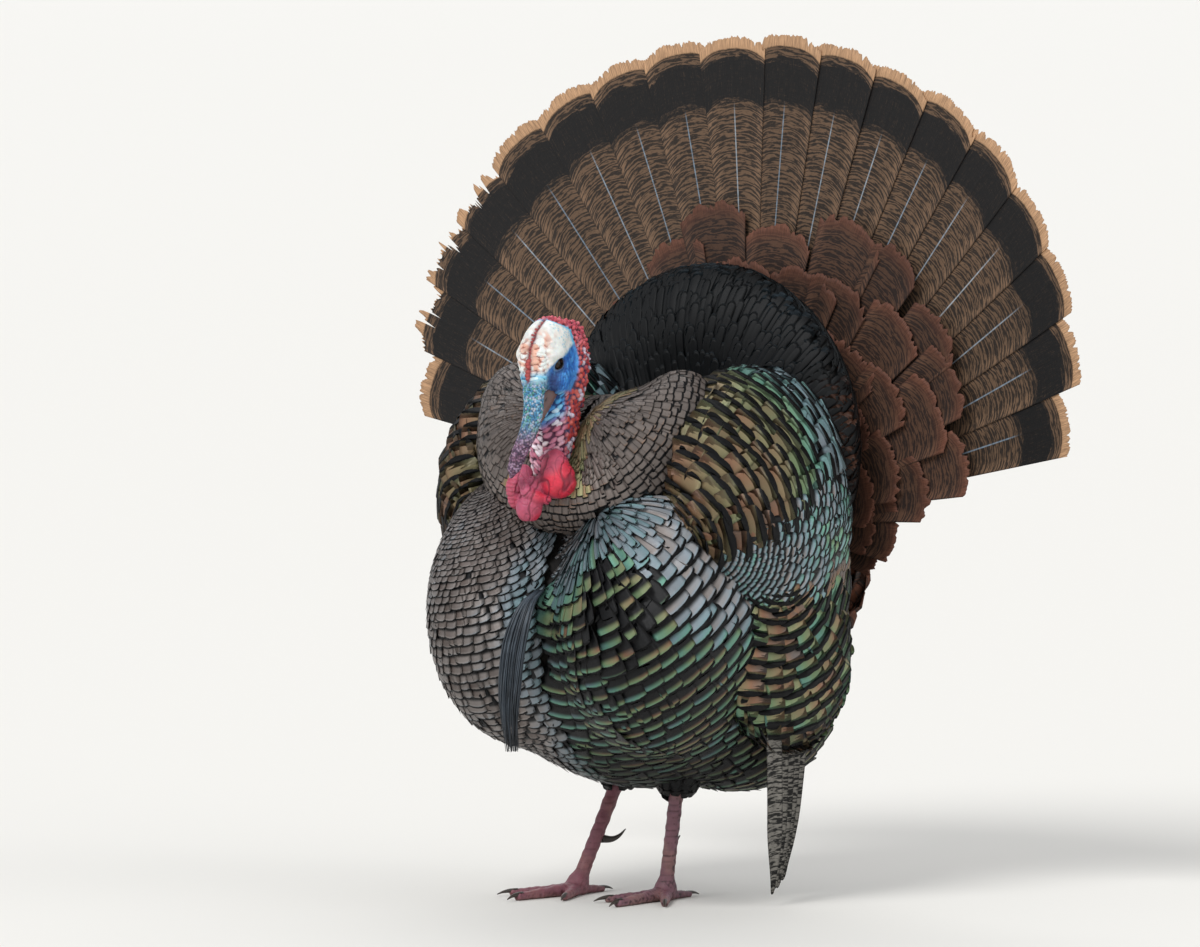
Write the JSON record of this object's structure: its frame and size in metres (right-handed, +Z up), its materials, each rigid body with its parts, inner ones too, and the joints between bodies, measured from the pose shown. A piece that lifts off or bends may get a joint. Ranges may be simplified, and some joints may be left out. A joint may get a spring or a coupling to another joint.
{
  "type": "wild turkey figure",
  "caption": "Life-size museum-type model of an adult male wild turkey standing in full strut, tail fan raised and wings drooped.",
  "frame": {"origin": "on the floor, under the middle of the model's box", "axes": "+Z up, the bird faces -Y, its left side is +X"},
  "size_m": [0.834, 0.4534, 0.8521],
  "materials": {
    "breast_feather": "iridescent body feathers, satin",
    "wing_feather": "iridescent wing and shoulder feathers, satin",
    "neck_feather": "fine olive-brown neck feathers",
    "back_feather": "black rump feathers",
    "tail_feather": "barred brown tail feathers, matte",
    "covert_feather": "chestnut tail coverts, matte",
    "quill_feather": "stiff black and white barred flight feathers",
    "head_skin": "bare wrinkled blue and white skin, painted silicone",
    "red_skin": "bare red skin, painted silicone",
    "snood_skin": "bare blue to pink wrinkled skin, painted silicone",
    "eye": "dark brown glass eye",
    "bill_horn": "brown horn",
    "leg_scale": "mauve scaled leg skin",
    "claw_horn": "dark horn claws and spurs",
    "beard_bristle": "coarse blue-black bristles"
  },
  "bodies": {
    "root": {"trunk": "breast_feather", "back": "back_feather", "collar": "neck_feather", "neck": "head_skin", "head": "head_skin", "eye_left": "eye", "eye_right": "eye", "bill_upper": "bill_horn", "bill_lower": "bill_horn", "snood": "snood_skin", "wattle_left": "red_skin", "wattle_front": "red_skin", "wattle_right": "red_skin", "beard": "beard_bristle", "wing_left": "wing_feather", "wing_right": "wing_feather", "primary_left_1": "quill_feather", "primary_right_1": "quill_feather", "primary_left_2": "quill_feather", "primary_right_2": "quill_feather", "primary_left_3": "quill_feather", "primary_right_3": "quill_feather", "tail_feather_01": "tail_feather", "tail_feather_02": "tail_feather", "tail_feather_03": "tail_feather", "tail_feather_04": "tail_feather", "tail_feather_05": "tail_feather", "tail_feather_06": "tail_feather", "tail_feather_07": "tail_feather", "tail_feather_08": "tail_feather", "tail_feather_09": "tail_feather", "tail_feather_10": "tail_feather", "tail_feather_11": "tail_feather", "tail_feather_12": "tail_feather", "tail_feather_13": "tail_feather", "tail_feather_14": "tail_feather", "tail_feather_15": "tail_feather", "tail_feather_16": "tail_feather", "tail_feather_17": "tail_feather", "tail_feather_18": "tail_feather", "tail_coverts": "covert_feather", "undertail": "covert_feather", "thigh_left": "breast_feather", "shank_left": "leg_scale", "spur_left": "claw_horn", "foot_left": "leg_scale", "claw_inner_left": "claw_horn", "claw_middle_left": "claw_horn", "claw_outer_left": "claw_horn", "claw_hind_left": "claw_horn", "thigh_right": "breast_feather", "shank_right": "leg_scale", "spur_right": "claw_horn", "foot_right": "leg_scale", "claw_inner_right": "claw_horn", "claw_middle_right": "claw_horn", "claw_outer_right": "claw_horn", "claw_hind_right": "claw_horn"}
  },
  "joints": []
}
